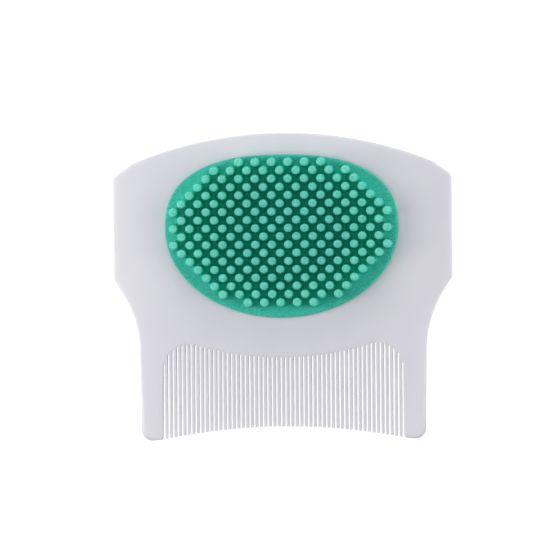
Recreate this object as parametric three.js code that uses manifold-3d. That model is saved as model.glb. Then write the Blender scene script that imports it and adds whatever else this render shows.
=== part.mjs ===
// A palm-size flea comb: a hollow two-part handle with fine teeth between two guard legs, and a soft
// oval brush pad set in a window of the front face. Millimetres. The comb lies on its back: +Z points
// up out of the brush side, +Y from the teeth to the arched top edge, and the origin is on the surface
// it lies on, under the middle of its outline. The pieces are modelled standing on the guard legs,
// with the brush side facing -Y, and their group is laid down at the end.
import * as THREE from "three";
import { mergeGeometries, mergeVertices } from "three/addons/utils/BufferGeometryUtils.js";
import Module from "manifold-3d";

const wasm = await Module();
wasm.setup();

// ---- driving dimensions -------------------------------------------------------------------------

const height = 74.7; // guard-leg tips to the top of the arched edge
const halfWidth = 41.3; // centre line to the flat side of a wing
const handleDepth = 9; // front face to back face in the palm
const wingDepth = 5.6; // front face to back face at the wings' sides
const topDepth = 6; // front face to back face at the top edge
const wall = 1.8; // moulded wall thickness
const clearance = 0.3; // gap left between two pieces that bear on each other
const seamDepth = 2.9; // front face to the middle of the seam between the two shells

const archRadius = 97; // top edge
const archHalfWidth = 35.5;
const shoulderRadius = 6; // where the top edge turns down towards a wing
const wingTop = 64.2;
const wingBottom = 39.3;
const wingTopRadius = 1.6;
const wingBottomRadius = 1.5;
const neckHeight = 30; // where a guard leg's outer edge meets the wing's slope
const neckRadius = 25;

const legOuter = 34.6; // a guard leg's outer edge at its tip
const legInner = 29.3;
const legFlare = 0.6; // how much further out its outer edge stands at the neck
const footOuterRadius = 2.6;
const footInnerRadius = 0.9;
const footDip = 0.2; // a leg's end slopes: its outer corner is this far down, its inner one up

const toothPitch = 1.1;
const toothCount = 53;
const toothWidth = 0.69;
const tipArcRadius = 148; // the tooth tips lie on an arc that rises to the middle
const tipArcTop = 3.2;
const rootArcRadius = 75; // the gaps end on an arc that dips in the middle
const rootArcBottom = 20.1;
const rootShoulderRadius = 6.3; // and round off beside the legs

const palmHalfWidth = 20; // flat middle of the back, from which it eases towards every edge
const palmTop = 60.7;
const palmBottom = 40;
const wingRollWidth = 12; // strip along the wings' sides where the front face rolls back
const wingRoll = 0.9;
const topRollHeight = 3.4; // strip along the top edge where it does too
const topRoll = 1.1;
const edgeRadius = 0.5; // around the front face

const combTop = 26.3; // solid bar above the gaps, which the back cover's lower edge meets
const cavityBottom = 28.1;
const rootLevel = 22; // where the teeth's straight taper starts
const rootDepth = 2.5; // tooth thickness there
const tipDepth = 1.4; // tooth thickness at the tips
const tipSetback = 0.35; // how far the tips' front lies behind the front face

const padCentre = 51.45; // height of the pad's widest line
const padHalfWidth = 28.4;
const padRise = 17.9; // widest line to the pad's top edge
const padDrop = 21.7; // widest line to the pad's bottom edge
const squarenessAbove = 2.5; // exponent of the pad's oval above its widest line: 2 is an ellipse
const squarenessBelow = 2;
const padProud = 1.2; // how far the pad's face stands out of the front face
const padEdgeRadius = 0.7;
const padLip = 1; // how far the pad laps over the window's edge in front
const flangeReach = 1.5; // and its flange behind
const flangeThickness = 1.2;
const carrierThickness = 1.4;
const carrierInset = 2; // how far its edge lies inside the pad's outline
const nubHeight = 5;
const nubBaseRadius = 1.15;
const nubTipRadius = 0.95;
const nubDome = 0.6; // height of its domed tip
const nubPitch = 4; // along a row; rows are half a pitch apart and staggered
const nubReachSide = 27; // how far from the pad's middle the nub centres may lie
const nubReachUp = 17;
const nubReachDown = 19.5;

const depth = handleDepth + padProud + nubHeight;
const backY = depth / 2;
const frontY = backY - handleDepth;
const seamY = frontY + seamDepth;
const padFaceY = frontY - padProud;
const cavityFrontY = frontY + wall;
const cavityBackY = backY - wall;

const chordError = 0.02; // how far a straight facet may stray from its arc
const margin = 5; // by which a cutting solid passes the object
const overshoot = 1; // by which a small one passes the wall that it cuts
const overlap = 0.5; // by which two solids that are joined run into each other

// ---- outlines -----------------------------------------------------------------------------------

// A closed outline whose corners are [x, z, radius]; a positive inset moves every edge inwards.
// The corners run clockwise as seen from the front.
function roundedOutline(corners, inset = 0) {
  const points = [];
  corners.forEach(([x, z, radius], i) => {
    const corner = new THREE.Vector2(x, z);
    const [beforeX, beforeZ] = corners.at(i - 1);
    const [afterX, afterZ] = corners[(i + 1) % corners.length];
    const back = new THREE.Vector2(beforeX, beforeZ).sub(corner).normalize();
    const ahead = new THREE.Vector2(afterX, afterZ).sub(corner).normalize();
    const half = Math.acos(back.dot(ahead)) / 2;
    const bisector = back.clone().add(ahead).normalize();
    const convex = Math.sign(back.cross(ahead));
    corner.addScaledVector(bisector, (convex * inset) / Math.sin(half));
    const arcRadius = radius > 0 ? radius - convex * inset : 0;
    if (arcRadius <= 0) {
      points.push(corner);
      return;
    }
    const centre = corner.clone().addScaledVector(bisector, arcRadius / Math.sin(half));
    const start = corner.clone().addScaledVector(back, arcRadius / Math.tan(half)).sub(centre);
    const sweep = -convex * (Math.PI - 2 * half);
    const steps = arcSteps(arcRadius, sweep);
    for (let step = 0; step <= steps; step += 1) {
      const spoke = start.clone().rotateAround(new THREE.Vector2(), (sweep * step) / steps);
      points.push(spoke.add(centre));
    }
  });
  return points.filter((point, i) => point.distanceTo(points.at(i - 1)) > chordError);
}

function arcSteps(radius, sweep) {
  const stepAngle = 2 * Math.acos(1 - Math.min(1, chordError / radius));
  return Math.max(2, Math.ceil(Math.abs(sweep) / stepAngle));
}

function mirrored(corners) {
  return corners.map(([x, z, radius]) => [-x, z, radius]).reverse();
}

// The handle's edge from the top's middle down one side to where the guard leg begins.
function handleSide() {
  const archCentre = height - archRadius;
  const archEdge = archCentre + Math.sqrt(archRadius ** 2 - archHalfWidth ** 2);
  const archCorner = archCentre + archRadius ** 2 / (archEdge - archCentre);
  const archSlope = archHalfWidth / (archEdge - archCentre);
  const shoulderRun = 1;
  return {
    apex: [0, archCorner, archRadius],
    side: [
      [archHalfWidth + shoulderRun, archEdge - shoulderRun * archSlope, shoulderRadius],
      [halfWidth, wingTop, wingTopRadius],
      [halfWidth, wingBottom, wingBottomRadius],
      [legOuter + legFlare, neckHeight, neckRadius],
    ],
  };
}

// The whole front outline: handle, guard legs and the opening that the teeth cross.
function combOutline() {
  const { apex, side } = handleSide();
  const shoulderX = legInner - rootShoulderRadius;
  const rootCentre = rootArcBottom + rootArcRadius;
  const drop = Math.sqrt((rootArcRadius + rootShoulderRadius) ** 2 - shoulderX ** 2);
  const slope = shoulderX / drop; // of the line that touches both arcs
  const share = rootArcRadius / (rootArcRadius + rootShoulderRadius);
  const touchX = share * shoulderX;
  const touchZ = rootCentre - share * drop;
  const leg = [
    [legOuter, -footDip, footOuterRadius],
    [legInner, footDip, footInnerRadius],
    [legInner, touchZ + (legInner - touchX) * slope, rootShoulderRadius],
  ];
  const half = [...side, ...leg];
  const rootCorner = [0, touchZ - touchX * slope, rootArcRadius];
  return roundedOutline([apex, ...half, rootCorner, ...mirrored(half)]);
}

// The handle alone, closed by a straight edge below the region that is kept.
function handleOutline(inset) {
  const { apex, side } = handleSide();
  const half = [...side, [legOuter + legFlare / 2, neckHeight / 2, 0]];
  return roundedOutline([apex, ...half, ...mirrored(half)], inset);
}

// Egg-like oval: a full, flattened upper half over a plain elliptical lower half.
function padOutline(offset) {
  const steps = 72;
  return Array.from({ length: steps }, (_, i) => {
    const angle = (-2 * Math.PI * i) / steps;
    const upper = Math.sin(angle) > 0;
    const power = 2 / (upper ? squarenessAbove : squarenessBelow);
    const reach = (upper ? padRise : padDrop) + offset;
    const x = Math.sign(Math.cos(angle)) * Math.abs(Math.cos(angle)) ** power;
    const z = Math.sign(Math.sin(angle)) * Math.abs(Math.sin(angle)) ** power;
    return new THREE.Vector2(x * (padHalfWidth + offset), padCentre + z * reach);
  });
}

// The handle's depth along its height, as (y, z): straight tapered teeth, a concave sweep up to the
// flat palm, and a soft top edge.
function sideProfile() {
  const rootBack = frontY + rootDepth;
  const topBack = frontY + topDepth;
  const taper = (rootDepth - tipDepth - tipSetback) / rootLevel;
  const sweepLevel = rootLevel + 5;
  const shape = new THREE.Shape();
  shape.moveTo(frontY + tipSetback * (1 + margin / rootLevel), -margin);
  shape.lineTo(frontY, rootLevel);
  shape.lineTo(frontY, height - topRollHeight);
  shape.quadraticCurveTo(frontY, height - topRollHeight / 4, frontY + topRoll, height);
  shape.lineTo(frontY + topRoll, height + margin);
  shape.lineTo(topBack, height + margin);
  shape.lineTo(topBack, height);
  shape.quadraticCurveTo(backY, height - (backY - topBack), backY, palmTop);
  shape.lineTo(backY, palmBottom);
  shape.bezierCurveTo(backY, sweepLevel, rootBack + 5 * taper, sweepLevel, rootBack, rootLevel);
  shape.lineTo(rootBack - (rootLevel + margin) * taper, -margin);
  return shape.getPoints(8);
}

// The handle's depth across its width, as (x, y): flat in the middle, easing towards the wings' sides.
function crossProfile() {
  const beyond = halfWidth + margin;
  const rollStart = halfWidth - wingRollWidth;
  const rollBend = halfWidth - wingRollWidth / 4;
  const backBend = (palmHalfWidth + 2 * halfWidth) / 3;
  const wingFront = frontY + wingRoll;
  const wingBack = frontY + wingDepth;
  const shape = new THREE.Shape();
  shape.moveTo(-beyond, wingFront);
  shape.lineTo(-halfWidth, wingFront);
  shape.quadraticCurveTo(-rollBend, frontY, -rollStart, frontY);
  shape.lineTo(rollStart, frontY);
  shape.quadraticCurveTo(rollBend, frontY, halfWidth, wingFront);
  shape.lineTo(beyond, wingFront);
  shape.lineTo(beyond, wingBack);
  shape.lineTo(halfWidth, wingBack);
  shape.quadraticCurveTo(backBend, backY, palmHalfWidth, backY);
  shape.lineTo(-palmHalfWidth, backY);
  shape.quadraticCurveTo(-backBend, backY, -halfWidth, wingBack);
  shape.lineTo(-beyond, wingBack);
  return shape.getPoints(8);
}

// ---- solids -------------------------------------------------------------------------------------

function solidOf(geometry) {
  geometry.deleteAttribute("normal");
  geometry.deleteAttribute("uv");
  const merged = mergeVertices(geometry, 1e-4);
  const vertProperties = merged.attributes.position.array;
  const triVerts = new Uint32Array(merged.index.array);
  return new wasm.Manifold(new wasm.Mesh({ numProp: 3, vertProperties, triVerts }));
}

// An outline of (x, z) points given depth from one y to another.
function plate(points, fromY, toY) {
  const options = { depth: toY - fromY, bevelEnabled: false };
  const geometry = new THREE.ExtrudeGeometry(new THREE.Shape(points), options);
  geometry.rotateX(Math.PI / 2);
  geometry.translate(0, toY, 0);
  return solidOf(geometry);
}

// The same with the edge around its front face rounded; its back edge is left square.
function roundedPlate(points, fromY, toY, rounding) {
  const bevel = { bevelSize: rounding, bevelThickness: rounding, bevelOffset: -rounding };
  const options = { depth: toY - fromY, bevelEnabled: true, bevelSegments: 3, ...bevel };
  const geometry = new THREE.ExtrudeGeometry(new THREE.Shape(points), options);
  geometry.rotateX(Math.PI / 2);
  geometry.translate(0, toY + rounding, 0);
  const reach = halfWidth + margin;
  const kept = box(-reach, reach, fromY - overshoot, toY, -margin, height + margin);
  return solidOf(geometry).intersect(kept);
}

// A (y, z) profile run across the whole width, moved forward by the given distance.
function acrossWidth(points, forward = 0) {
  const span = 2 * (halfWidth + margin);
  const options = { depth: span, bevelEnabled: false };
  const geometry = new THREE.ExtrudeGeometry(new THREE.Shape(points), options);
  const axes = [new THREE.Vector3(0, 1, 0), new THREE.Vector3(0, 0, 1), new THREE.Vector3(1, 0, 0)];
  geometry.applyMatrix4(new THREE.Matrix4().makeBasis(...axes));
  geometry.translate(-span / 2, -forward, 0);
  return solidOf(geometry);
}

// An (x, y) profile run up the whole height, moved forward by the given distance.
function alongHeight(points, forward = 0) {
  const options = { depth: height + 2 * margin, bevelEnabled: false };
  const geometry = new THREE.ExtrudeGeometry(new THREE.Shape(points), options);
  geometry.translate(0, -forward, -margin);
  return solidOf(geometry);
}

function box(lowX, highX, lowY, highY, lowZ, highZ) {
  const geometry = new THREE.BoxGeometry(highX - lowX, highY - lowY, highZ - lowZ);
  geometry.translate((lowX + highX) / 2, (lowY + highY) / 2, (lowZ + highZ) / 2);
  return solidOf(geometry);
}

// Everything with y and z above the given levels, as far as the object reaches.
function regionBeyond(fromY, fromZ) {
  const reach = halfWidth + margin;
  return box(-reach, reach, fromY, backY + margin, fromZ, height + margin);
}

// A round post along y, narrowing to its far end when the two radii differ.
function post([x, z], fromY, toY, radius, endRadius = radius) {
  const sides = 16;
  const geometry = new THREE.CylinderGeometry(endRadius, radius, toY - fromY, sides);
  geometry.translate(x, (fromY + toY) / 2, z);
  return solidOf(geometry);
}

// The handle's full body, or with an inset the space that a wall of that thickness leaves behind it.
function handleBlock(inset) {
  const outline = plate(handleOutline(inset), frontY - margin, backY + overshoot);
  return outline
    .intersect(acrossWidth(sideProfile(), inset))
    .intersect(alongHeight(crossProfile(), inset));
}

// ---- the pieces ---------------------------------------------------------------------------------

function bothSides(places) {
  return places.flatMap(([x, z]) => [[x, z], [-x, z]]);
}

const pegPlaces = bothSides([[34.7, padCentre], [28.5, padCentre + 12.5], [28.5, padCentre - 17.5]]);
const pegRadius = 1.2;
const pegTipRadius = 1.08;
const socketRadius = 2.4;

const studPlaces = bothSides([[16, padCentre + 6], [16, padCentre - 8]]);
const studRadius = 1.5;

const supportPlaces = bothSides([[9, padCentre + 9], [9, padCentre - 11]]);
const supportRadius = 2;

const flangeFrontY = cavityFrontY + clearance;
const flangeBackY = flangeFrontY + flangeThickness;
const carrierFrontY = flangeBackY + clearance;
const carrierBackY = carrierFrontY + carrierThickness;
const studEndY = carrierBackY + 0.6;
const socketEndY = seamY + 0.5; // where a socket of the shell meets the foot of the cover's peg

function tooth(index) {
  const x = (index - (toothCount - 1) / 2) * toothPitch;
  const tip = tipArcTop - tipArcRadius + Math.sqrt(tipArcRadius ** 2 - x ** 2);
  const left = x - toothWidth / 2;
  return box(left, left + toothWidth, frontY - overshoot, backY + overshoot, tip, combTop - overlap);
}

// Front face, side walls up to the seam, guard legs and teeth, with the pad's window and peg sockets.
function frontShell() {
  let shell = roundedPlate(combOutline(), frontY, backY + overshoot, edgeRadius);
  for (let index = 0; index < toothCount; index += 1) {
    shell = shell.add(tooth(index));
  }
  shell = shell.intersect(acrossWidth(sideProfile()));
  shell = shell.intersect(alongHeight(crossProfile()));
  shell = shell.subtract(regionBeyond(seamY - clearance / 2, combTop));
  const cavity = plate(handleOutline(wall), cavityFrontY, backY);
  shell = shell.subtract(cavity.intersect(regionBeyond(frontY, cavityBottom)));
  shell = shell.subtract(plate(padOutline(-padLip), frontY - overshoot, cavityFrontY + overshoot));
  for (const place of pegPlaces) {
    const socket = post(place, cavityFrontY - overlap, socketEndY, socketRadius);
    const bore = post(place, cavityFrontY, seamY + overshoot, pegRadius + clearance);
    shell = shell.add(socket).subtract(bore);
  }
  return shell;
}

// The band between two insets of the handle's outline.
function band(outerInset, innerInset, fromY, toY) {
  const inside = plate(handleOutline(innerInset), fromY - overshoot, toY + overshoot);
  return plate(handleOutline(outerInset), fromY, toY).subtract(inside);
}

// Thin rim that reaches from the cover's wall into the front shell and closes the seam from inside.
function tongue() {
  const thickness = 1;
  const outer = wall + clearance;
  const inner = outer + thickness;
  const rootY = seamY + clearance;
  const rim = band(outer, inner, cavityFrontY + clearance, rootY + thickness);
  const root = band(wall - overlap, inner, rootY, rootY + thickness);
  return rim.add(root).intersect(regionBeyond(frontY, cavityBottom + clearance));
}

// The closing cover, with pegs that press into the sockets and posts that back the pad's carrier.
function backCover() {
  const cover = handleBlock(0).intersect(regionBeyond(seamY + clearance / 2, combTop + clearance));
  let shell = cover.subtract(handleBlock(wall).intersect(regionBeyond(frontY, cavityBottom)));
  for (const place of pegPlaces) {
    const base = post(place, socketEndY + clearance, backY - overlap, socketRadius);
    const peg = post(place, cavityFrontY + 2 * clearance, backY - overlap, pegTipRadius, pegRadius);
    shell = shell.add(base.add(peg).intersect(handleBlock(overlap)));
  }
  for (const place of supportPlaces) {
    shell = shell.add(post(place, carrierBackY + clearance, cavityBackY + overlap, supportRadius));
  }
  return shell.add(tongue());
}

// A smooth round nub with a shallow domed tip, standing along -y.
function nub([x, z]) {
  const outline = [
    [0, -overlap],
    [nubBaseRadius, -overlap],
    [nubTipRadius, nubHeight - nubDome],
    [0, nubHeight],
  ].map(([radius, along]) => new THREE.Vector2(radius, along));
  const geometry = new THREE.LatheGeometry(outline, 8);
  geometry.rotateX(Math.PI);
  geometry.translate(x, padFaceY, z);
  return geometry;
}

// Staggered lattice places within the nubs' reach.
function nubPlaces() {
  const places = [];
  const rowStep = nubPitch / 2;
  const rowsDown = Math.floor(padDrop / rowStep);
  const rowsUp = Math.floor(padRise / rowStep);
  for (let row = -rowsDown; row <= rowsUp; row += 1) {
    const shift = row % 2 === 0 ? nubPitch / 2 : 0;
    for (let x = shift - 8 * nubPitch; x <= 8 * nubPitch; x += nubPitch) {
      if (withinReach(x, row * rowStep)) {
        places.push([x, padCentre + row * rowStep]);
      }
    }
  }
  return places;
}

function withinReach(x, z) {
  const power = z > 0 ? squarenessAbove : squarenessBelow;
  const reachZ = z > 0 ? nubReachUp : nubReachDown;
  return Math.abs(x / nubReachSide) ** power + Math.abs(z / reachZ) ** power <= 1;
}

// Soft pad: rounded front plate over the window's edge, neck through it, flange and studs behind.
function brushPad() {
  const face = roundedPlate(padOutline(0), padFaceY, frontY - clearance, padEdgeRadius);
  const neck = plate(padOutline(-padLip - clearance), padFaceY + overlap, flangeFrontY + overlap);
  const flange = plate(padOutline(flangeReach - padLip), flangeFrontY, flangeBackY);
  let pad = face.add(neck).add(flange);
  pad = pad.add(solidOf(mergeGeometries(nubPlaces().map(nub))));
  for (const place of studPlaces) {
    pad = pad.add(post(place, flangeBackY - overlap, studEndY, studRadius));
  }
  return pad;
}

// Stiff plate behind the pad, with a hole for each stud.
function padCarrier() {
  let carrier = plate(padOutline(-carrierInset), carrierFrontY, carrierBackY);
  for (const place of studPlaces) {
    const hole = post(place, carrierFrontY - overshoot, carrierBackY + overshoot, studRadius + clearance);
    carrier = carrier.subtract(hole);
  }
  return carrier;
}

// ---- scene graph --------------------------------------------------------------------------------

const whitePlastic = { color: 0xe4e3ea, roughness: 0.38, metalness: 0 };
const greenRubber = { color: 0x2ea886, roughness: 0.5, metalness: 0 };
const greyPlastic = { color: 0xc9ccd0, roughness: 0.6, metalness: 0 };

function piece(name, solid, finish) {
  const { vertProperties, triVerts } = solid.getMesh();
  const geometry = new THREE.BufferGeometry();
  geometry.setAttribute("position", new THREE.BufferAttribute(vertProperties, 3));
  geometry.setIndex(new THREE.BufferAttribute(triVerts, 1));
  const mesh = new THREE.Mesh(geometry, new THREE.MeshStandardMaterial(finish));
  mesh.name = name;
  return mesh;
}

const comb = new THREE.Group();
comb.add(piece("front_shell", frontShell(), whitePlastic));
comb.add(piece("back_cover", backCover(), whitePlastic));
comb.add(piece("brush_pad", brushPad(), greenRubber));
comb.add(piece("pad_carrier", padCarrier(), greyPlastic));
comb.rotation.x = -Math.PI / 2;
comb.position.set(0, -height / 2, backY);

export default comb;
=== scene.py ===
"""Flea comb lying on its back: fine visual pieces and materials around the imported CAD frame.

Outlines are drawn as (x, up): x across the comb, up measured from the guard legs' tips to the arched
edge. Level is the height above the surface that the comb lies on. All in metres.
"""

import math

import bpy
import numpy as np
from mathutils import Matrix, Vector, geometry, kdtree


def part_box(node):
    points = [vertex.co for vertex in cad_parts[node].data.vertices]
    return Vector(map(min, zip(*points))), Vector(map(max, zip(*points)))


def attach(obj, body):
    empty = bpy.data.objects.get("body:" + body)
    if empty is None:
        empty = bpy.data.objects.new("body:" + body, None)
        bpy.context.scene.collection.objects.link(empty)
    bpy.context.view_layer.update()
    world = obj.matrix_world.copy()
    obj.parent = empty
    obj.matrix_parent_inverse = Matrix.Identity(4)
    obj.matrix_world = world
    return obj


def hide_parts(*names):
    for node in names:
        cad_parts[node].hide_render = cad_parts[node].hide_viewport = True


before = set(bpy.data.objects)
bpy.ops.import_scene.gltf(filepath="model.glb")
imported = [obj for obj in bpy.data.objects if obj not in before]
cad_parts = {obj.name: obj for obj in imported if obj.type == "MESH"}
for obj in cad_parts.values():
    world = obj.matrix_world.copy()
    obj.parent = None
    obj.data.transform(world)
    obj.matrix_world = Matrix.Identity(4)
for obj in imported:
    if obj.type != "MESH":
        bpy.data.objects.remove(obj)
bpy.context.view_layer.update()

# ---- driving dimensions --------------------------------------------------------------------------

MM = 0.001
_, shell_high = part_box("front_shell")
cover_low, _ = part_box("back_cover")
_, pad_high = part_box("brush_pad")

half_width = shell_high.x  # centre line to the flat side of a wing
height = 74.7 * MM  # guard-leg tips to the top of the arched edge
front_level = shell_high.z
back_level = cover_low.z
tip_level = pad_high.z  # top of the nubs
wall = 1.8 * MM  # moulded wall thickness
clearance = 0.3 * MM  # gap left between two pieces that bear on each other
seam_depth = 2.9 * MM  # front face to the middle of the seam between the two shells
wing_depth = 5.6 * MM  # front face to back face at the wings' sides
top_depth = 6 * MM  # front face to back face at the top edge

arch_radius = 97 * MM  # top edge
arch_half_width = 35.5 * MM
shoulder_radius = 6 * MM  # where the top edge turns down towards a wing
wing_top = 64.2 * MM
wing_bottom = 39.3 * MM
wing_top_radius = 1.6 * MM
wing_bottom_radius = 1.5 * MM
neck_height = 30 * MM  # where a guard leg's outer edge meets the wing's slope
neck_radius = 25 * MM
leg_outer = 34.6 * MM  # a guard leg's outer edge at its tip
leg_inner = 29.3 * MM
leg_flare = 0.6 * MM  # how much further out its outer edge stands at the neck
foot_outer_radius = 2.6 * MM
foot_inner_radius = 0.9 * MM
foot_dip = 0.2 * MM  # a leg's end slopes: its outer corner is this far down, its inner one up

palm_half_width = 20 * MM  # flat middle of the back, from which it eases towards every edge
palm_top = 60.7 * MM
palm_bottom = 40 * MM
side_ease = 2.4  # exponents of the easing: a larger one keeps the back flat for longer
top_ease = 2.8
wing_roll_width = 12 * MM  # strip along the wings' sides where the front face rolls back
wing_roll = 0.9 * MM
top_roll_height = 3.4 * MM  # strip along the top edge where it does too
top_roll = 0.7 * MM
roll_ease = 2.2

tooth_pitch = 1.1 * MM
tooth_count = 53
tooth_width = 0.69 * MM
tooth_tip_radius = 0.13 * MM
gap_corner_share = 0.45  # radius of the corners at a gap's end, as a share of the gap's width
tip_arc_radius = 148 * MM  # the tooth tips lie on an arc that rises to the middle
tip_arc_top = 3.2 * MM
root_arc_radius = 75 * MM  # the gaps end on an arc that dips in the middle
root_arc_bottom = 20.1 * MM
root_shoulder_radius = 6.3 * MM  # and round off beside the legs

comb_top = 26.3 * MM  # solid bar above the gaps, which the back cover's lower edge meets
cavity_bottom = 28.1 * MM
root_level_up = 22 * MM  # where the teeth's straight taper starts
root_depth = 2.5 * MM  # tooth thickness there
tip_depth = 1.4 * MM  # tooth thickness at the tips
tip_setback = 0.35 * MM  # how far the tips' front lies behind the front face
setback_ease = 1.5
sweep_rise = 5 * MM  # how far above the taper the back turns from the teeth towards the palm
seam_level = front_level - seam_depth
cavity_front = front_level - wall
cavity_back = back_level + wall

pad_centre = 51.45 * MM  # height of the pad's widest line
pad_half_width = 28.4 * MM
pad_rise = 17.9 * MM  # widest line to the pad's top edge
pad_drop = 21.7 * MM  # widest line to the pad's bottom edge
squareness_above = 2.5  # exponent of the pad's oval above its widest line: 2 is an ellipse
squareness_below = 2
pad_proud = 1.2 * MM  # how far the pad's face stands out of the front face
pad_edge = 0.35 * MM
pad_lip = 1 * MM  # how far the pad laps over the window's edge in front
lip_gap = 0.05 * MM  # and how close it lies to it
flange_reach = 1.5 * MM  # how far the flange laps over the window's edge behind
flange_thickness = 1.2 * MM
carrier_thickness = 1.4 * MM
pad_face = front_level + pad_proud
nub_height = tip_level - pad_face
nub_base_radius = 1.15 * MM
nub_tip_radius = 0.96 * MM
nub_dome = 0.28 * MM  # height of its domed tip
nub_fillet = 0.1 * MM
nub_foot_radius = nub_base_radius + nub_fillet
nub_foot_margin = 0.06 * MM  # least flat strip between a nub's foot and the pad's rounded edge
nub_pitch = 4 * MM  # along a row; rows are half a pitch apart and staggered
nub_reach_side = 27 * MM  # how far from the pad's middle the nub centres may lie
nub_reach_up = 17 * MM
nub_reach_down = 19.5 * MM

handle_edge = 0.5 * MM  # rounding of each stretch of the outline
leg_outer_edge = 0.9 * MM
leg_edge = 0.5 * MM
tooth_edge = 0.11 * MM

chord_error = 0.0025 * MM  # how far a straight facet may stray from its arc
shortest_step = 0.01 * MM  # outline points closer together than this become one
grid_spacing = 1.5 * MM
edge_steps = 5
overshoot = 1 * MM  # by which a cutting solid passes the wall that it cuts
overlap = 0.5 * MM  # by which two solids that are joined run into each other

# ---- outlines ------------------------------------------------------------------------------------


def unit(vector):
    return vector / np.linalg.norm(vector)


def rounded_outline(corners, inset=0.0):
    """Points (x, up, edge) along a clockwise outline with (x, up, radius, edge) corners, moved inwards."""
    points = []
    for i, (x, up, radius, edge) in enumerate(corners):
        corner = np.array((x, up))
        back = unit(np.array(corners[i - 1][:2]) - corner)
        ahead = unit(np.array(corners[(i + 1) % len(corners)][:2]) - corner)
        half = math.acos(back @ ahead) / 2
        bisector = unit(back + ahead)
        convex = math.copysign(1, back[0] * ahead[1] - back[1] * ahead[0])
        corner = corner + bisector * convex * inset / math.sin(half)
        arc_radius = radius - convex * inset if radius > 0 else 0
        if arc_radius <= 0:
            points.append((*corner, edge))
            continue
        centre = corner + bisector * arc_radius / math.sin(half)
        start = corner + back * arc_radius / math.tan(half) - centre
        sweep = -convex * (math.pi - 2 * half)
        steps = max(3, math.ceil(abs(sweep) * math.sqrt(arc_radius / (8 * chord_error))))
        for angle in np.linspace(0, sweep, steps + 1):
            cos, sin = math.cos(angle), math.sin(angle)
            spoke = np.array((cos * start[0] - sin * start[1], sin * start[0] + cos * start[1]))
            points.append((*(centre + spoke), edge))
    kept = [p for i, p in enumerate(points) if math.dist(p[:2], points[i - 1][:2]) > shortest_step]
    return subdivided(np.array(kept), grid_spacing)


def subdivided(points, longest):
    """The same closed outline with no stretch longer than the given length."""
    fine = []
    for here, there in zip(points, np.roll(points, -1, axis=0)):
        steps = max(1, math.ceil(math.dist(here[:2], there[:2]) / longest))
        fine.extend(here + (there - here) * share for share in np.arange(steps) / steps)
    return np.array(fine)


def inward(points):
    """At each point of a clockwise outline, the step that moves both of its edges in by one unit."""
    ahead = np.roll(points, -1, axis=0)[:, :2] - points[:, :2]
    ahead /= np.linalg.norm(ahead, axis=1)[:, None]
    after = np.column_stack((ahead[:, 1], -ahead[:, 0]))
    before = np.roll(after, 1, axis=0)
    return (before + after) / (1 + (before * after).sum(1))[:, None]


def mirrored(corners):
    return [(-x, *rest) for x, *rest in reversed(corners)]


def handle_side():
    """The top's middle corner, and the corners from there down one side to the guard leg."""
    centre = height - arch_radius
    rise = math.sqrt(arch_radius**2 - arch_half_width**2)
    run = 1 * MM
    apex = (0, centre + arch_radius**2 / rise, arch_radius, handle_edge)
    shoulder = (arch_half_width + run, centre + rise - run * arch_half_width / rise)
    return apex, [
        (*shoulder, shoulder_radius, handle_edge),
        (half_width, wing_top, wing_top_radius, handle_edge),
        (half_width, wing_bottom, wing_bottom_radius, handle_edge),
        (leg_outer + leg_flare, neck_height, neck_radius, handle_edge),
    ]


def root_height(x):
    """Where the tooth gaps end: an arc that dips in the middle, rounded off beside the guard legs."""
    shoulder_x = leg_inner - root_shoulder_radius
    root_centre = root_arc_bottom + root_arc_radius
    joined = root_arc_radius + root_shoulder_radius
    if abs(x) < shoulder_x * root_arc_radius / joined:
        return root_centre - math.sqrt(root_arc_radius**2 - x**2)
    shoulder_centre = root_centre - math.sqrt(joined**2 - shoulder_x**2)
    furthest = 0.97 * root_shoulder_radius  # short of the leg, where the arc would run straight down
    reach = min(abs(x) - shoulder_x, furthest)
    return shoulder_centre + math.sqrt(root_shoulder_radius**2 - reach**2)


def tip_height(x):
    return tip_arc_top - tip_arc_radius + math.sqrt(tip_arc_radius**2 - x**2)


def comb_corners():
    """The whole front outline, with every tooth and gap, clockwise from the top."""
    apex, side = handle_side()
    foot = [
        (leg_outer, -foot_dip, foot_outer_radius, leg_outer_edge),
        (leg_inner, foot_dip, foot_inner_radius, leg_edge),
    ]
    walls = [leg_inner]
    for i in reversed(range(tooth_count)):
        x = (i - (tooth_count - 1) / 2) * tooth_pitch
        walls += [x + tooth_width / 2, x - tooth_width / 2]
    walls.append(-leg_inner)
    teeth = []
    for right, left in zip(walls[0::2], walls[1::2]):
        root = root_height((right + left) / 2)
        root_radius = gap_corner_share * (right - left)
        teeth += [(x, root, root_radius, tooth_edge) for x in (right, left)]
        if left > -leg_inner:
            tip = tip_height(left - tooth_width / 2)
            teeth += [(x, tip, tooth_tip_radius, tooth_edge) for x in (left, left - tooth_width)]
    half = side + foot
    return [apex, *half, *teeth, *mirrored(half)]


def handle_corners():
    """The handle alone, closed by a straight edge below the part that is kept."""
    apex, side = handle_side()
    half = [*side, (leg_outer + leg_flare / 2, neck_height / 2, 0, handle_edge)]
    return [apex, *half, *mirrored(half)]


def pad_outline(offset, steps=240):
    """Egg-like oval: a full, flattened upper half over a plain elliptical lower half."""
    angle = -2 * math.pi * np.arange(steps) / steps
    upper = np.sin(angle) > 0
    power = 2 / np.where(upper, squareness_above, squareness_below)
    x = np.sign(np.cos(angle)) * np.abs(np.cos(angle)) ** power * (pad_half_width + offset)
    up = np.sign(np.sin(angle)) * np.abs(np.sin(angle)) ** power
    return np.column_stack((x, pad_centre + up * (np.where(upper, pad_rise, pad_drop) + offset)))


def circle(centre, radius, steps, clockwise=False):
    angle = 2 * math.pi * np.arange(steps) / steps * (-1 if clockwise else 1)
    return np.array(centre) + radius * np.column_stack((np.cos(angle), np.sin(angle)))


# ---- surfaces ------------------------------------------------------------------------------------


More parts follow.
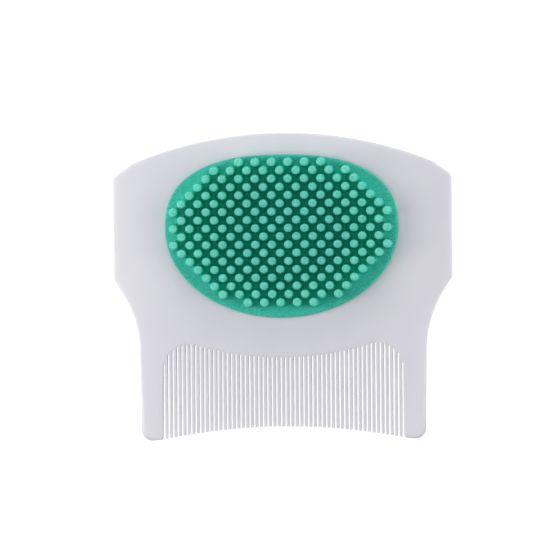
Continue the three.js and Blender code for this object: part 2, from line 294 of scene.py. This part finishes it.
def blended(*drops):
    """The largest of several distances, with the creases between them smoothed out."""
    power = 3
    return sum(np.maximum(d, 0) ** power for d in drops) ** (1 / power)


def eased(distance, length, amount, power):
    """Nothing up to zero distance, growing to the amount over the length and a little on from there."""
    furthest = 1.2
    return amount * np.clip(distance / length, 0, furthest) ** power


def front_surface(x, up):
    """Level of the front face: flat, easing down at the wings' sides, the top edge and the tooth tips."""
    past_side = np.abs(x) - (half_width - wing_roll_width)
    past_top = up - (height - top_roll_height)
    sides = eased(past_side, wing_roll_width, wing_roll, roll_ease)
    top = eased(past_top, top_roll_height, top_roll, roll_ease)
    tips = tip_setback * np.clip(1 - up / root_level_up, 0, 1) ** setback_ease
    return front_level - blended(sides, top) - tips


def sweep_profile():
    """(up, level) under the comb from the tooth tips along the concave sweep to the flat palm."""
    root = front_level - root_depth
    slope = (root_depth - tip_depth - tip_setback) / root_level_up
    bend = root_level_up + sweep_rise
    steps = 60
    controls = (
        (root_level_up, root),
        (bend, root - sweep_rise * slope),
        (bend, back_level),
        (palm_bottom, back_level),
    )
    t = np.linspace(0, 1, steps)[:, None]
    weights = ((1 - t) ** 3, 3 * t * (1 - t) ** 2, 3 * t**2 * (1 - t), t**3)
    curve = sum(w * np.array(c) for w, c in zip(weights, controls))
    below_tips = (-root_level_up, root + 2 * root_level_up * slope)
    return np.vstack((below_tips, curve))


sweep = sweep_profile()


def comb_back_surface(x, up):
    return np.interp(up, sweep[:, 0], sweep[:, 1])


def cover_surface(x, up):
    """Level of the back: flat in the palm, easing up at the sides, the top and the comb."""
    side_width = half_width - palm_half_width
    sides = eased(np.abs(x) - palm_half_width, side_width, front_level - wing_depth, side_ease)
    top = eased(up - palm_top, height - palm_top, front_level - top_depth, top_ease)
    return back_level + blended(sides, top, comb_back_surface(x, up) - back_level)


def cavity_surface(x, up):
    return cover_surface(x, up) + wall


def flat(level):
    return lambda x, up: np.full(len(x), level)


def runs_left(loop):
    """Whether a closed loop runs anticlockwise."""
    x, up = loop.T
    return (x * np.roll(up, -1) - np.roll(x, -1) * up).sum() > 0


def grid_inside(loop, spacing):
    """Points of a square grid that lie inside a loop and not close to it."""
    tree = kdtree.KDTree(len(loop))
    for i, (x, up) in enumerate(loop):
        tree.insert((x, up, 0), i)
    tree.balance()
    low, high = loop.min(0), loop.max(0)
    shift = 0.37  # keeps the grid's lines off the comb's centre line and straight edges
    nearest = 0.7 * spacing
    xs = (np.arange(math.floor(low[0] / spacing), high[0] / spacing) + shift) * spacing
    ups = (np.arange(math.floor(low[1] / spacing), high[1] / spacing) + shift) * spacing
    grid = np.array([(x, up) for x in xs for up in ups])
    inside = np.zeros(len(grid), bool)
    for (ax, ay), (bx, by) in zip(loop, np.roll(loop, -1, axis=0)):
        if ay != by:
            crosses = (grid[:, 1] < ay) != (grid[:, 1] < by)
            inside ^= crosses & (grid[:, 0] < ax + (grid[:, 1] - ay) * (bx - ax) / (by - ay))
    return np.array([p for p in grid[inside] if tree.find((*p, 0))[2] > nearest])


# ---- meshes --------------------------------------------------------------------------------------


class Skin:
    """A mesh under construction: points in space and faces between them."""

    def __init__(self):
        self.points = []
        self.faces = []

    def add(self, places, level):
        """Adds (x, up) points at a level, or a level each, and returns their numbers."""
        first = len(self.points)
        levels = np.broadcast_to(level, len(places))
        self.points.extend((x, up - height / 2, z) for (x, up), z in zip(places, levels))
        return list(range(first, len(self.points)))

    def strip(self, a, b):
        """Joins two closed loops: the second lies outwards or further from the cap of a clockwise first."""
        for i in range(len(a)):
            j = (i + 1) % len(a)
            self.faces.append((a[i], a[j], b[j], b[i]))

    def rings(self, loops, surface_levels):
        """Stacks loops with their levels, joins each to the next, and returns the numbers of each."""
        numbers = [self.add(loop, level) for loop, level in zip(loops, surface_levels)]
        for a, b in zip(numbers, numbers[1:]):
            self.strip(a, b)
        return numbers

    def cap(self, loop, numbers, surface, downward=False, inner=(), posts=()):
        """Fills a loop with triangles through inner points; each of the posts' circles stays open."""
        inner = np.array(inner).reshape(-1, 2)
        places = [loop, *posts, inner]
        every = numbers + [n for extra in places[1:] for n in self.add(extra, surface(*extra.T))]
        starts = np.cumsum([0] + [len(p) for p in places])
        bounds = [list(range(starts[i], starts[i + 1])) for i in range(len(posts) + 1)]
        turned = [b if runs_left(p) else b[::-1] for b, p in zip(bounds, places)]
        vectors = [Vector(p / MM) for p in np.vstack(places)]
        triangles_inside = 1
        same_point = 1e-6
        found = geometry.delaunay_2d_cdt(vectors, [], turned, triangles_inside, same_point)
        _, _, triangles, origins, _, sources = found
        for triangle, holders in zip(triangles, sources):
            if len(holders) == 1:
                named = [every[origins[v][0]] for v in triangle]
                self.faces.append(named[::-1] if downward else named)
        return [[every[v] for v in bound] for bound in bounds[1:]]

    def post(self, base, centre, profile, clockwise=False):
        """Grows a round post from an open circle, through (radius, level) rings to a closed end."""
        last = base
        for radius, level in profile[:-1]:
            ring = self.add(circle(centre, radius, len(base), clockwise), level)
            self.strip(last, ring)
            last = ring
        end = self.add([centre], profile[-1][1])[0]
        self.faces.extend((last[i], last[(i + 1) % len(last)], end) for i in range(len(last)))

    def object(self, name):
        mesh = bpy.data.meshes.new(name)
        mesh.from_pydata(self.points, [], self.faces)
        made = bpy.data.objects.new(name, mesh)
        bpy.context.scene.collection.objects.link(made)
        return made


def slab(name, outline, front, back, round_front=True, round_back=True):
    """A closed plate between two surfaces, its edges rounded by each point's edge radius."""
    skin = Skin()
    places = outline[:, :2]
    edge = outline[:, 2]
    step = inward(outline)
    loops = []
    levels = []
    for surface, sign, rounds in ((front, -1, round_front), (back, 1, round_back)):
        turns = np.linspace(0, math.pi / 2, edge_steps + 1) if rounds else np.array([0.0])
        radius = edge if rounds else 0 * edge
        for turn in turns[::-sign]:
            loop = places + step * (radius * (1 - math.sin(turn)))[:, None]
            loops.append(loop)
            levels.append(surface(*loop.T) + sign * radius * (1 - math.cos(turn)))
    numbers = skin.rings(loops, levels)
    front_grid = grid_inside(loops[0], grid_spacing)
    back_grid = grid_inside(loops[-1], grid_spacing)
    skin.cap(loops[0], numbers[0], front, inner=front_grid)
    skin.cap(loops[-1], numbers[-1], back, downward=True, inner=back_grid)
    return skin.object(name)


def prism(name, loop, high, low):
    """A plain closed plate between two levels."""
    skin = Skin()
    front, back = skin.rings((loop, loop), (high, low))
    skin.cap(loop, front, flat(high))
    skin.cap(loop, back, flat(low), downward=True)
    return skin.object(name)


def block(name, low_up, high, low):
    """Everything above a line across the comb, between two levels."""
    far = 2 * half_width
    loop = np.array(((-far, 2 * far), (far, 2 * far), (far, low_up), (-far, low_up)))
    return prism(name, loop, high, low)


def peg(name, place, high, low, radius):
    """A round post with a small chamfer at its upper end."""
    sides = 32
    chamfer = 0.15 * radius
    skin = Skin()
    radii = (radius - chamfer, radius, radius)
    loops = [circle(place, r, sides, clockwise=True) for r in radii]
    numbers = skin.rings(loops, (high, high - chamfer, low))
    skin.cap(loops[0], numbers[0], flat(high))
    skin.cap(loops[2], numbers[2], flat(low), downward=True)
    return skin.object(name)


def combine(target, operation, *others):
    """Changes the target by a boolean operation with each of the others, and removes the others."""
    for other in others:
        change = target.modifiers.new(operation, "BOOLEAN")
        change.operation = operation
        change.solver = "EXACT"
        change.object = other
        ready = target.evaluated_get(bpy.context.evaluated_depsgraph_get())
        mesh = bpy.data.meshes.new_from_object(ready)
        target.modifiers.clear()
        target.data = mesh
        bpy.data.objects.remove(other)
    return target


# ---- the pieces ----------------------------------------------------------------------------------


def both_sides(*places):
    return [(sign * x, up) for x, up in places for sign in (1, -1)]


peg_places = both_sides(
    (34.7 * MM, pad_centre), (28.5 * MM, pad_centre + 12.5 * MM), (28.5 * MM, pad_centre - 17.5 * MM)
)
peg_radius = 1.2 * MM
socket_radius = 2.4 * MM
socket_end = seam_level - 0.5 * MM  # where a socket of the shell meets the foot of the cover's peg
peg_root = 0.6 * MM  # how deep a peg's foot runs into the cover's wall
support_places = both_sides((9 * MM, pad_centre + 9 * MM), (9 * MM, pad_centre - 11 * MM))
support_radius = 2 * MM
stud_places = both_sides((16 * MM, pad_centre + 6 * MM), (16 * MM, pad_centre - 8 * MM))
stud_radius = 1.5 * MM
stud_chamfer = 0.2 * MM
stud_proud = 0.6 * MM  # how far a stud stands out behind the carrier
nub_sides = 20
stud_sides = 24

flange_front = cavity_front - clearance
flange_back = flange_front - flange_thickness
carrier_back = flange_back - clearance - carrier_thickness
stud_end = carrier_back - stud_proud


def front_shell():
    """Face, side walls, guard legs and teeth in one moulding, hollow behind the pad's window."""
    shell = slab("comb_front_shell", rounded_outline(comb_corners()), front_surface, comb_back_surface)
    behind = block("behind", comb_top, seam_level + clearance / 2, back_level - overshoot)
    loop = rounded_outline(handle_corners(), wall)[:, :2]
    cavity = prism("cavity", loop, cavity_front, back_level - 2 * overshoot)
    upper = block("upper", cavity_bottom, front_level, back_level - 3 * overshoot)
    combine(cavity, "INTERSECT", upper)
    window = prism("window", pad_outline(-pad_lip), front_level + overshoot, cavity_front - overshoot)
    combine(shell, "DIFFERENCE", behind, cavity, window)
    for place in peg_places:
        socket = peg("socket", place, cavity_front + overlap, socket_end, socket_radius)
        bore = peg("bore", place, cavity_front, seam_level - overshoot, peg_radius + clearance)
        combine(shell, "UNION", socket)
        combine(shell, "DIFFERENCE", bore)
    return shell


def back_cover():
    """The cover that closes the handle from behind, with its pegs and support posts."""
    outline = rounded_outline(handle_corners())
    rim = flat(seam_level - clearance / 2)
    cover = slab("comb_back_cover", outline, rim, cover_surface, round_front=False)
    keep = block("keep", comb_top + clearance, front_level, back_level - overshoot)
    combine(cover, "INTERSECT", keep)
    inner = rounded_outline(handle_corners(), wall)
    inner[:, 2] = 0
    above_seam = flat(seam_level + overshoot)
    cavity = slab("cover_cavity", inner, above_seam, cavity_surface, round_front=False, round_back=False)
    upper = block("cover_upper", cavity_bottom, front_level, back_level - overshoot)
    combine(cavity, "INTERSECT", upper)
    combine(cover, "DIFFERENCE", cavity)
    for place in peg_places:
        foot = float(cavity_surface(*np.array([place]).T)[0]) - peg_root
        base = peg("base", place, socket_end - clearance, foot, socket_radius)
        pin = peg("pin", place, cavity_front - 2 * clearance, foot, peg_radius)
        combine(cover, "UNION", base, pin)
    for place in support_places:
        support = peg("support", place, carrier_back - clearance, cavity_back - overlap, support_radius)
        combine(cover, "UNION", support)
    return cover


def nub_places():
    """Staggered lattice places within the nubs' reach."""
    places = []
    row_step = nub_pitch / 2
    rows_up = math.floor(nub_reach_up / row_step)
    rows_down = math.floor(nub_reach_down / row_step)
    columns = math.ceil(nub_reach_side / nub_pitch)
    for row in range(-rows_down, rows_up + 1):
        up = row * row_step
        power = squareness_above if up > 0 else squareness_below
        reach = nub_reach_up if up > 0 else nub_reach_down
        shift = 0.5 if row % 2 == 0 else 0
        for column in range(-columns, columns + 1):
            x = (column + shift) * nub_pitch
            if abs(x / nub_reach_side) ** power + abs(up / reach) ** power <= 1:
                places.append((x, pad_centre + up))
    return places


def painted_rim_light_share(x, up):
    """One on the pad's open rim, falling to nothing some rows of nubs further in: the mask for the rubber's
    painted light, where less shade falls between the nubs.
    """
    start = 0.55
    full = 0.97
    rise = up - pad_centre
    power, reach = (squareness_above, pad_rise) if rise > 0 else (squareness_below, pad_drop)
    outward = (abs(x / pad_half_width) ** power + abs(rise / reach) ** power) ** (1 / power)
    return min(max((outward - start) / (full - start), 0), 1)


def nub_profile():
    """(radius, level) from the fillet at the nub's foot up its tapered side and over its domed tip."""
    foot = [
        (nub_foot_radius - nub_fillet * math.sin(t), pad_face + nub_fillet * (1 - math.cos(t)))
        for t in np.radians((30, 60, 90))
    ]
    side_bottom = pad_face + nub_fillet
    side_top = tip_level - nub_dome
    taper = nub_tip_radius - nub_base_radius
    side = [
        (nub_base_radius + taper * t, side_bottom + (side_top - side_bottom) * t)
        for t in (0.33, 0.67, 1)
    ]
    dome = [
        (nub_tip_radius * math.cos(t), side_top + nub_dome * math.sin(t))
        for t in np.radians((15, 30, 45, 60, 75))
    ]
    return [*foot, *side, *dome, (0, tip_level)]


def pad_rounding(places):
    """Edge radius at each point of the pad's outline, smaller where a nub's foot comes close to it."""
    gaps = pad_outline(0)[:, None] - np.array(places)
    return np.minimum(pad_edge, np.hypot(*gaps.T).min(0) - nub_foot_radius - nub_foot_margin)


def pad_rings(rounding):
    """The pad's loops and levels, from its face over the rounded edge and the lip back to the flange."""
    turns = np.linspace(0, math.pi / 2, edge_steps + 1)
    offsets = [rounding * (math.sin(turn) - 1) for turn in turns]
    levels = [pad_face - rounding * (1 - math.cos(turn)) for turn in turns]
    neck = -pad_lip - clearance
    flange = flange_reach - pad_lip
    lip_back = front_level + lip_gap
    offsets += [0, neck, neck, flange, flange]
    levels += [lip_back, lip_back, flange_front, flange_front, flange_back]
    return [pad_outline(offset) for offset in offsets], levels


def mark_points(piece, name, values):
    """Stores a number at each point of a piece for its material to read."""
    piece.data.attributes.new(name, "FLOAT", "POINT").data.foreach_set("value", values)


def brush_pad():
    """Soft pad: face with its nubs, a lip over the window's edge, neck, flange and studs behind."""
    skin = Skin()
    places = nub_places()
    loops, levels = pad_rings(pad_rounding(places))
    numbers = skin.rings(loops, levels)
    feet = [circle(place, nub_foot_radius, nub_sides) for place in places]
    bases = skin.cap(loops[0], numbers[0], flat(pad_face), posts=feet)
    first_nub = len(skin.points)
    profile = nub_profile()
    for base, place in zip(bases, places):
        skin.post(base, place, profile)
    nub_end = len(skin.points)
    studs = [circle(place, stud_radius, stud_sides, clockwise=True) for place in stud_places]
    bases = skin.cap(loops[-1], numbers[-1], flat(flange_back), downward=True, posts=studs)
    stud_profile = (
        (stud_radius, stud_end + stud_chamfer),
        (stud_radius - stud_chamfer, stud_end),
        (0, stud_end),
    )
    for base, place in zip(bases, stud_places):
        skin.post(base, place, stud_profile, clockwise=True)
    pad = skin.object("comb_brush_pad")
    nub_rise = np.zeros(len(skin.points))
    nub_levels = np.array(skin.points)[first_nub:nub_end, 2]
    nub_rise[first_nub:nub_end] = (nub_levels - pad_face) / nub_height
    mark_points(pad, "nub_rise", nub_rise)
    # rim: mask for the painted light on the pad's outer rows, read by the rubber
    mark_points(pad, "rim", [painted_rim_light_share(x, y + height / 2) for x, y, level in skin.points])
    return pad


def finish_piece(piece, node, crease):
    """Declares a piece, smooths its shading and keeps edges sharper than the crease angle, in degrees."""
    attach(piece, "root")
    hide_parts(node)
    piece.data.shade_smooth()
    piece.data.set_sharp_from_angle(angle=math.radians(crease))
    weighted = piece.modifiers.new("weighted_normals", "WEIGHTED_NORMAL")
    weighted.keep_sharp = True


shell = front_shell()
cover = back_cover()
pad = brush_pad()
finish_piece(shell, "front_shell", crease=40)
finish_piece(cover, "back_cover", crease=40)
finish_piece(pad, "brush_pad", crease=50)

# ---- materials -----------------------------------------------------------------------------------


class Finish:
    """A procedural material under construction, around one Principled shader."""

    def __init__(self, name, **constants):
        self.material = bpy.data.materials.new(name)
        self.material.use_nodes = True
        self.tree = self.material.node_tree
        self.shader = self.tree.nodes["Principled BSDF"]
        for socket, value in constants.items():
            self.shader.inputs[socket.replace("_", " ")].default_value = value

    def node(self, kind, **settings):
        made = self.tree.nodes.new(kind)
        for setting, value in settings.items():
            setattr(made, setting, value)
        return made

    def join(self, output, node, socket):
        self.tree.links.new(output, node.inputs[socket])

    def noise(self, scale, detail, stretch=(1, 1, 1)):
        """Noise in the object's own coordinates, with the scale in cells per metre."""
        coordinates = self.node("ShaderNodeTexCoord")
        mapping = self.node("ShaderNodeMapping")
        texture = self.node("ShaderNodeTexNoise")
        mapping.inputs["Scale"].default_value = stretch
        texture.inputs["Scale"].default_value = scale
        texture.inputs["Detail"].default_value = detail
        self.join(coordinates.outputs["Object"], mapping, "Vector")
        self.join(mapping.outputs["Vector"], texture, "Vector")
        return texture.outputs["Fac"]

    def mark(self, name):
        """The number that a piece stores at its points under a name."""
        return self.node("ShaderNodeAttribute", attribute_name=name).outputs["Fac"]

    def colours(self, value, *stops):
        """A colour for a value, through (value, colour) stops."""
        ramp = self.node("ShaderNodeValToRGB")
        elements = ramp.color_ramp.elements
        for element, (position, colour) in zip((elements[0], elements[1]), (stops[0], stops[-1])):
            element.position = position
            element.color = (*colour, 1)
        for position, colour in stops[1:-1]:
            elements.new(position).color = (*colour, 1)
        self.join(value, ramp, "Fac")
        return ramp.outputs["Color"]

    def mixed(self, factor, a, b, blend="MIX"):
        """Two colours mixed; the factor may be a number or an output."""
        mix = self.node("ShaderNodeMix", data_type="RGBA", blend_type=blend)
        colour_a, colour_b, result = 6, 7, 2  # sockets that share their names with other kinds' sockets
        if isinstance(factor, float):
            mix.inputs["Factor"].default_value = factor
        else:
            self.join(factor, mix, "Factor")
        self.join(a, mix, colour_a)
        self.join(b, mix, colour_b)
        return mix.outputs[result]

    def multiplied(self, a, b):
        return self.mixed(1.0, a, b, "MULTIPLY")

    def spread(self, value, low, high):
        """A noise value, which mostly lies between 0.3 and 0.7, spread over a range."""
        noise_low, noise_high = 0.3, 0.7
        spread = self.node("ShaderNodeMapRange")
        spread.inputs["From Min"].default_value = noise_low
        spread.inputs["From Max"].default_value = noise_high
        spread.inputs["To Min"].default_value = low
        spread.inputs["To Max"].default_value = high
        self.join(value, spread, "Value")
        return spread.outputs["Result"]

    def bumps(self, *layers):
        """Bump from (value, depth) layers, one on the other."""
        last = None
        for value, depth in layers:
            bump = self.node("ShaderNodeBump")
            bump.inputs["Strength"].default_value = 1
            bump.inputs["Distance"].default_value = depth
            self.join(value, bump, "Height")
            if last:
                self.join(last, bump, "Normal")
            last = bump.outputs["Normal"]
        self.join(last, self.shader, "Normal")

    def set(self, socket, output):
        self.join(output, self.shader, socket)


def white_plastic():
    """Satin moulded plastic: faint flow clouds, fine spark-eroded grain and a few light scuffs."""
    finish = Finish("white_plastic", IOR=1.49, Subsurface_Weight=0.5, Subsurface_Scale=2 * MM)
    finish.shader.inputs["Subsurface Radius"].default_value = (1, 1, 1)
    clouds = finish.noise(scale=70, detail=2)
    grain = finish.noise(scale=5000, detail=2)
    scuffs = finish.noise(scale=260, detail=4, stretch=(1, 7, 1))
    tint = finish.colours(clouds, (0.3, (0.78, 0.765, 0.835)), (0.7, (0.81, 0.795, 0.855)))
    dusty = finish.colours(scuffs, (0.62, (1, 1, 1)), (0.75, (0.975, 0.972, 0.965)))
    finish.set("Base Color", finish.multiplied(tint, dusty))
    finish.set("Roughness", finish.spread(scuffs, low=0.38, high=0.52))
    finish.bumps((clouds, 0.02 * MM), (grain, 0.004 * MM))
    return finish.material


def green_rubber():
    """Soft moulded rubber: deep green between the nubs. Painted light: the nub tips painted paler, a
    painted highlight for their sheen, and the pad's outer rows painted lighter where less shade falls
    between the nubs.
    """
    finish = Finish(
        "green_rubber", Specular_IOR_Level=0.25, Subsurface_Weight=0.6, Subsurface_Scale=1.5 * MM
    )
    finish.shader.inputs["Subsurface Radius"].default_value = (0.2, 1, 0.8)
    rise = finish.mark("nub_rise")
    rim = finish.mark("rim")
    clouds = finish.noise(scale=120, detail=3)
    speckle = finish.noise(scale=2400, detail=2)
    grain = finish.noise(scale=3500, detail=2)
    # painted light: the base between the outer rows of nubs painted lighter, where less shade falls, and
    # the open ring beyond them painted greyer
    painted_light_ground = finish.colours(
        rim, (0.0, (0.001, 0.72, 0.54)), (0.6, (0.001, 0.82, 0.63)), (0.9, (0.06, 0.62, 0.48))
    )
    # painted highlight: each nub painted paler and less saturated towards its tip for its sheen; the outer
    # nubs painted lighter still, where less shade falls on them
    inner_nub_painted_highlight = finish.colours(rise, (0.55, (0.005, 0.66, 0.5)), (0.9, (0.15, 0.67, 0.53)))
    outer_nub_painted_light = finish.colours(rise, (0.55, (0.03, 0.7, 0.53)), (0.9, (0.19, 0.76, 0.62)))
    nub = finish.mixed(rim, inner_nub_painted_highlight, outer_nub_painted_light)
    on_nub = finish.colours(rise, (0.0, (0, 0, 0)), (0.4, (1, 1, 1)))
    patches = finish.colours(clouds, (0.3, (0.95, 0.96, 0.96)), (0.7, (1, 1, 1)))
    mottle = finish.colours(speckle, (0.38, (0.75, 0.84, 0.84)), (0.62, (1.15, 1.07, 1.09)))
    tinted = finish.multiplied(finish.mixed(on_nub, painted_light_ground, nub), patches)
    finish.set("Base Color", finish.multiplied(tinted, mottle))
    finish.set("Roughness", finish.spread(clouds, low=0.45, high=0.6))
    finish.bumps((clouds, 0.03 * MM), (grain, 0.006 * MM))
    return finish.material


def grey_plastic():
    """Plain matte plastic of the hidden carrier plate."""
    finish = Finish("grey_plastic", IOR=1.49)
    clouds = finish.noise(scale=90, detail=3)
    grain = finish.noise(scale=2500, detail=2)
    tint = finish.colours(clouds, (0.3, (0.56, 0.57, 0.59)), (0.7, (0.63, 0.64, 0.66)))
    finish.set("Base Color", tint)
    finish.set("Roughness", finish.spread(clouds, low=0.55, high=0.68))
    finish.bumps((grain, 0.01 * MM))
    return finish.material


def dress(piece, material):
    piece.data.materials.clear()
    piece.data.materials.append(material)


white = white_plastic()
dress(shell, white)
dress(cover, white)
dress(pad, green_rubber())
dress(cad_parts["pad_carrier"], grey_plastic())

# ---- floor, lights and camera --------------------------------------------------------------------


def light_table():
    """A white floor that glows a little, as a light table does, and reaches past every low view."""
    reach = 12
    level = -0.02 * MM  # just clear of the comb's back, so that the two faces never share a plane
    mesh = bpy.data.meshes.new("floor")
    corners = [(x * reach, y * reach, level) for x, y in ((-1, -1), (1, -1), (1, 1), (-1, 1))]
    mesh.from_pydata(corners, [], [(0, 1, 2, 3)])
    floor = bpy.data.objects.new("floor", mesh)
    bpy.context.scene.collection.objects.link(floor)
    glow = Finish("floor_white", Roughness=0.9, Emission_Strength=0.85)
    glow.shader.inputs["Emission Color"].default_value = (1, 1, 1, 1)
    soft = glow.noise(scale=3, detail=1)
    glow.set("Base Color", glow.colours(soft, (0.3, (0.36, 0.36, 0.36)), (0.7, (0.38, 0.38, 0.38))))
    dress(floor, glow.material)


def surround(strength):
    """Even white light from all around."""
    world = bpy.data.worlds.new("surround")
    world.use_nodes = True
    sky = world.node_tree.nodes["Background"]
    sky.inputs["Color"].default_value = (1, 1, 1, 1)
    sky.inputs["Strength"].default_value = strength
    bpy.context.scene.world = world


def softbox(name, around, above, distance, power):
    """A square soft light that faces the comb; angles in degrees, around from +X and above the floor."""
    around, above = math.radians(around), math.radians(above)
    level = math.cos(above)
    out = Vector((level * math.cos(around), level * math.sin(around), math.sin(above)))
    size_share = 0.54
    light = bpy.data.lights.new(name, "AREA")
    light.size = size_share * distance
    light.energy = power
    made = bpy.data.objects.new(name, light)
    made.location = out * distance
    made.rotation_euler = out.to_track_quat("Z", "Y").to_euler()
    bpy.context.scene.collection.objects.link(made)


def camera():
    """Straight down on the brush side, leaning a little to the comb's right."""
    distance = 1.6
    view_width = 136.2 * MM
    lean_right = math.radians(4.7)
    roll = math.radians(-0.6)
    aim = Vector((-0.5 * MM, 1.5 * MM, front_level))
    back = Vector((math.sin(lean_right), 0, math.cos(lean_right)))
    across = Vector((0, 1, 0)).cross(back).normalized()
    upright = back.cross(across)
    turn = Matrix((across, upright, back)).transposed() @ Matrix.Rotation(roll, 3, "Z")
    data = bpy.data.cameras.new("camera")
    data.lens = data.sensor_width * distance / view_width
    data.clip_start = 0.01
    made = bpy.data.objects.new("camera", data)
    made.matrix_world = Matrix.Translation(aim + back * distance) @ turn.to_4x4()
    bpy.context.scene.collection.objects.link(made)
    bpy.context.scene.camera = made


far_off = 0.75
close_by = 0.16

light_table()
surround(strength=0.19)
softbox("left", around=180, above=45, distance=far_off, power=1.85)
softbox("right", around=0, above=45, distance=far_off, power=1.15)
softbox("near_left", around=178, above=35, distance=close_by, power=0.048)
softbox("near_right", around=2, above=35, distance=close_by, power=0.032)
softbox("top", around=90, above=20, distance=far_off, power=1.5)
softbox("overhead", around=90, above=80, distance=far_off, power=0.33)
camera()
bpy.context.scene.view_settings.view_transform = "Standard"
